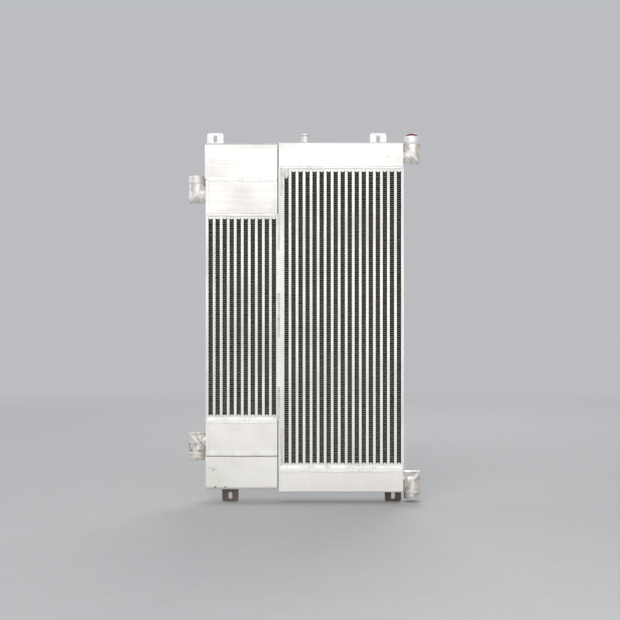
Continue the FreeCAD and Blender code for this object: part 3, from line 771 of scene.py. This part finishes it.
class Port:
    """Axes and places of one port, read from its collar, its leg and the tank's end."""

    def __init__(self, name, out, turn):
        self.name, self.out, self.turn = name, np.array([out, 0.0, 0.0]), np.array([0.0, 0.0, turn])
        low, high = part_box(f"{name}_collar")
        self.radius = (high.x - low.x) / 2
        self.axis_x = (low.x + high.x) / 2
        self.collar_z = low.z if turn > 0 else high.z
        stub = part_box(f"{name}_stub")
        self.tank_x = stub[1].x if out < 0 else stub[0].x
        # the stub's far side from the mouth lies one radius past its axis
        self.stub_z = stub[0].z + self.radius if turn > 0 else stub[1].z - self.radius

    @property
    def corner(self):
        return np.array([self.axis_x, 0.0, self.stub_z])


PORTS = [Port("small_top_port", -1, 1), Port("small_bottom_port", -1, -1),
         Port("main_top_port", 1, 1), Port("main_bottom_port", 1, -1)]


def weld_port(port):
    """Fillet on the tank's end, mitre run and the ring below the collar."""
    welds = Welds(f"{port.name}_welds", PORT_BEAD)
    base = np.array([port.tank_x, 0.0, port.stub_z])
    welds.ring(base, port.out, port.radius, 1.0, PORT_RING)
    turns = np.linspace(0, 2 * math.pi, 120, endpoint=False)[:, None]
    flat = np.sin(turns) * np.array([0.0, 1.0, 0.0])
    # the run stays inside the sharp outer corner and fills the inner one
    tuck = 0.4 * MITRE.width * np.abs(np.cos(turns)) ** 5 * normalised(port.out - port.turn)
    points = port.corner + port.radius * (np.cos(turns) * (port.out - port.turn) + flat) - tuck
    outs = normalised(np.cos(turns) * (port.out - port.turn) / 2 + flat)
    welds.run(points, outs, MITRE, True)
    neck = np.array([port.axis_x, 0.0, port.collar_z])
    welds.ring(neck, port.turn, port.radius, 0.0, COLLAR_RING)
    welds.done()


def weld_lug(name, face_z, side):
    """Fillet all round a lug's foot."""
    low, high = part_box(name)
    middle = (low.x + high.x) / 2
    half_x, half_y = (high.x - low.x) / 2, (high.y - low.y) / 2
    turns = np.linspace(0, 2 * math.pi, 120, endpoint=False)
    points, outs = [], []
    for a in turns:
        c, s = math.cos(a), math.sin(a)
        # a superellipse keeps close to the plate's oblong foot
        px = middle + half_x * math.copysign(abs(c) ** 0.18, c)
        py = half_y * math.copysign(abs(s) ** 0.18, s)
        points.append((px, py, face_z))
        outs.append((0.3 * math.copysign(abs(c) ** 6, c), math.copysign(abs(s) ** 0.3, s), side))
    welds = Welds(f"{name}_weld", FLAT_BEAD)
    welds.run(points, normalised(np.array(outs)), LUG_FILLET, True)
    welds.done()


def weld_everything():
    for core in (SMALL, MAIN):
        weld_core_joints(core)
    weld_spacer_seams()
    weld_tie_bars()
    weld_caps()
    for port in PORTS:
        weld_port(port)
    spacer_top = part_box("top_spacer_box")[1].z
    spacer_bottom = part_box("bottom_spacer_box")[0].z
    for name, z, side in (("lug_upper_left", spacer_top, 1), ("lug_upper_right", MAIN_TOP, 1),
                          ("lug_lower_left", spacer_bottom, -1), ("lug_lower_right", MAIN_BOTTOM, -1)):
        weld_lug(name, z, side)
    low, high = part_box("vent_boss")
    welds = Welds("vent_boss_weld", FLAT_BEAD)
    welds.ring(((low.x + high.x) / 2, 0, low.z), UP, (high.x - low.x) / 2, 1.0, LUG_FILLET)
    welds.done()


# ---------------------------------------------------------------- threaded collars and transit plug

THREAD_PITCH = 1.814 * MM      # 14 threads per inch
THREAD_DEPTH = 1.0 * MM
COLLAR_BREAK = 1.0 * MM


def lathe(profile, base, direction, segments=96):
    """Closed shell turned round an axis from (radius, height) points."""
    side = normalised(np.cross(direction, OUT_FRONT))
    other = np.cross(direction, side)
    turns = np.linspace(0, 2 * math.pi, segments, endpoint=False)
    rows = []
    for a in turns:
        radial = math.cos(a) * side + math.sin(a) * other
        rows.append([base + r * radial + h * direction for r, h in profile])
    return np.array(rows), grid_faces(segments, len(profile), closed_rows=True, closed_columns=True)


def thread_ridge(crest, root, length, base, direction, segments=48):
    """Helical ridge inside a bore, from its root radius to its crest radius."""
    side = normalised(np.cross(direction, OUT_FRONT))
    other = np.cross(direction, side)
    turns = int(length / THREAD_PITCH)
    flat = THREAD_PITCH * 0.12
    section = ((root, 0.0), (crest, THREAD_PITCH / 2 - flat), (crest, THREAD_PITCH / 2 + flat),
               (root, THREAD_PITCH))
    rows = []
    for i in range(turns * segments + 1):
        a = 2 * math.pi * i / segments
        height = THREAD_PITCH * i / segments
        radial = math.cos(a) * side + math.sin(a) * other
        rows.append([base + r * radial + (height + h * 0.98) * direction for r, h in section])
    faces = grid_faces(len(rows), 4, closed_columns=True)
    last = (len(rows) - 1) * 4
    faces += [(3, 2, 1, 0), (last, last + 1, last + 2, last + 3)]
    return np.array(rows), faces


def build_collar(port):
    """Turned collar with broken edges, one faint tool groove and a real thread."""
    low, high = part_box(f"{port.name}_collar")
    length, outer = high.z - low.z, port.radius
    inner = min(math.hypot(v.co.x - port.axis_x, v.co.y)
                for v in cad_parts[f"{port.name}_collar"].data.vertices)
    root = inner + THREAD_DEPTH
    mouth_chamfer = THREAD_DEPTH + 0.4 * MM
    e, g = COLLAR_BREAK, 0.35 * MM
    profile = [(root, 0), (outer, 0), (outer, length * 0.52), (outer - g, length * 0.52 + g),
               (outer, length * 0.52 + 2 * g), (outer, length - e), (outer - 0.3 * e, length - 0.3 * e),
               (outer - e, length), (inner + mouth_chamfer + 0.3 * MM, length),
               (root, length - mouth_chamfer)]
    base = np.array([port.axis_x, 0.0, port.collar_z])
    build = Build()
    build.add(*lathe(profile, base, port.turn))
    start = base + port.turn * 0.4 * MM
    build.add(*thread_ridge(inner, root + 0.05 * MM, length - mouth_chamfer - 0.4 * MM, start, port.turn))
    material = LOW_PORT_ALLOY if "bottom" in port.name else FITTING_ALLOY
    piece = build.piece(f"{port.name}_threaded_collar", material)
    shade_by_angle(piece)
    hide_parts(f"{port.name}_collar")


def build_transit_plug():
    """Push-in plug: a skirt with two sealing ribs, a thin flange and a shallow dome with a moulding pip."""
    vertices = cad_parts["transit_plug"].data.vertices
    low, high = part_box("transit_plug")
    axis_x, flange = (low.x + high.x) / 2, (high.x - low.x) / 2
    rim_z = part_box("main_top_port_collar")[1].z
    skirt = max(math.hypot(v.co.x - axis_x, v.co.y) for v in vertices if v.co.z < low.z + 0.1 * MM)
    depth, height = rim_z - low.z, high.z - rim_z
    rib, wall, lip = 0.25 * MM, 1.4 * MM, 1.1 * MM      # rib height, skirt wall and flange thickness
    profile = [(skirt - wall, -depth), (skirt - 0.6 * MM, -depth), (skirt - rib, -depth * 0.94)]
    for at in (0.72, 0.40):
        profile += [(skirt - rib, -depth * (at + 0.08)), (skirt, -depth * at),
                    (skirt - rib, -depth * (at - 0.08))]
    profile += [(skirt - rib, 0.02 * MM), (flange - 0.3 * MM, 0.02 * MM), (flange, 0.35 * MM),
                (flange, lip - 0.25 * MM), (flange - 0.3 * MM, lip), (flange - 1.6 * MM, lip)]
    crown = flange - 1.9 * MM
    for angle in np.linspace(0.10, 0.44, 9) * math.pi:
        profile.append((crown * math.cos(angle), lip + (height - lip) * math.sin(angle)))
    pip = 1.5 * MM
    axis = 0.05 * MM        # the shell stays just off its axis, so that no face has zero area
    profile += [(pip, height - 0.10 * MM), (pip * 0.8, height - 0.45 * MM), (axis, height - 0.5 * MM),
                (axis, height - 1.9 * MM), (crown * 0.55, height - 2.4 * MM), (skirt - wall, -0.4 * MM)]
    build = Build()
    build.add(*lathe(profile, np.array([axis_x, 0.0, rim_z]), UP))
    piece = build.piece("transit_plug_moulded", RED_PLASTIC, "transit_plug")
    shade_by_angle(piece)
    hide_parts("transit_plug")


def shade_by_angle(piece, degrees=35):
    """Sharp edges stay sharp and the rest shades smooth."""
    mesh = piece.data
    mesh.polygons.foreach_set("use_smooth", [True] * len(mesh.polygons))
    mesh.set_sharp_from_angle(angle=math.radians(degrees))


# ---------------------------------------------------------------- build the pieces

for core in (SMALL, MAIN):
    build_fins(core)
weld_everything()
for port in PORTS:
    build_collar(port)
build_transit_plug()

# ---------------------------------------------------------------- floor, light and camera

FLOOR_Z = cad_box[0].z
MIDDLE = (cad_box[0] + cad_box[1]) / 2
BACKDROP = (0.50, 0.51, 0.53)
FLOOR_DARK, FLOOR_PALE = (0.535, 0.54, 0.55), (0.55, 0.555, 0.565)
FLOOR_FADE = 4.2        # radius at which the floor has taken the backdrop's colour
FLOOR_HALF = 40.0
DAYLIGHT = (1.0, 0.985, 0.96)
# name, place from the cooler's middle, width, height and watts of each softbox
LIGHTS = (("key", (-0.9, -2.6, 1.9), 1.6, 1.2, 26),
          ("fill", (0.6, -2.6, 0.30), 2.6, 1.0, 20),
          ("rear", (0.6, 2.8, 1.8), 1.8, 1.2, 30),
          ("side", (-2.6, 0.6, 0.8), 1.2, 1.6, 9))
CAMERA_PLACE = (-0.004, -2.8, 0.4353)
CAMERA_LENS, CAMERA_SENSOR, CAMERA_SHIFT = 69.56, 36.0, -0.0016


def build_floor():
    """Pale floor whose far part takes the world's colour, so that no horizon shows."""
    m = Nodes("floor", roughness=0.7)
    speck = m.noise((30.0, 30.0, 30.0), 3.0, 0.5)
    m.finish(m.mix(m.ramp(speck, 0.3, 0.7), FLOOR_DARK, FLOOR_PALE))
    glow = m.node("ShaderNodeEmission")
    glow.inputs["Color"].default_value = (*BACKDROP, 1.0)
    blend = m.node("ShaderNodeMixShader")
    far = m.near((MIDDLE.x, MIDDLE.y, FLOOR_Z), (FLOOR_FADE,) * 3)
    m.link(m.maths("SUBTRACT", 1.0, far), blend.inputs[0])
    m.link(m.shader.outputs[0], blend.inputs[1])
    m.link(glow.outputs[0], blend.inputs[2])
    m.link(blend.outputs[0], m.tree.nodes["Material Output"].inputs["Surface"])
    corners = [(x * FLOOR_HALF, y * FLOOR_HALF, FLOOR_Z) for x, y in ((-1, -1), (1, -1), (1, 1), (-1, 1))]
    mesh = bpy.data.meshes.new("floor")
    mesh.from_pydata(corners, [], [(0, 1, 2, 3)])
    mesh.materials.append(m.material)
    floor = bpy.data.objects.new("floor", mesh)
    bpy.context.scene.collection.objects.link(floor)


def soft_light(name, place, width, height, power):
    """Rectangular softbox aimed at the cooler's middle."""
    data = bpy.data.lights.new(name, "AREA")
    data.shape = "RECTANGLE"
    data.size, data.size_y, data.energy, data.color = width, height, power, DAYLIGHT
    light = bpy.data.objects.new(name, data)
    light.location = MIDDLE + Vector(place)
    light.rotation_euler = (-Vector(place)).to_track_quat("-Z", "Y").to_euler()
    bpy.context.scene.collection.objects.link(light)


def build_world():
    world = bpy.data.worlds.new("studio")
    world.use_nodes = True
    world.node_tree.nodes["Background"].inputs["Color"].default_value = (*BACKDROP, 1.0)
    world.node_tree.nodes["Background"].inputs["Strength"].default_value = 1.0
    bpy.context.scene.world = world


def build_camera():
    """Level camera square to the front, at the height of the cooler's middle."""
    data = bpy.data.cameras.new("camera")
    data.lens, data.sensor_width, data.shift_y = CAMERA_LENS, CAMERA_SENSOR, CAMERA_SHIFT
    camera = bpy.data.objects.new("camera", data)
    camera.location = CAMERA_PLACE
    camera.rotation_euler = (math.radians(90), 0, 0)
    bpy.context.scene.collection.objects.link(camera)
    bpy.context.scene.camera = camera


build_floor()
build_world()
for light in LIGHTS:
    soft_light(*light)
build_camera()
bpy.context.scene.view_settings.view_transform = "Standard"
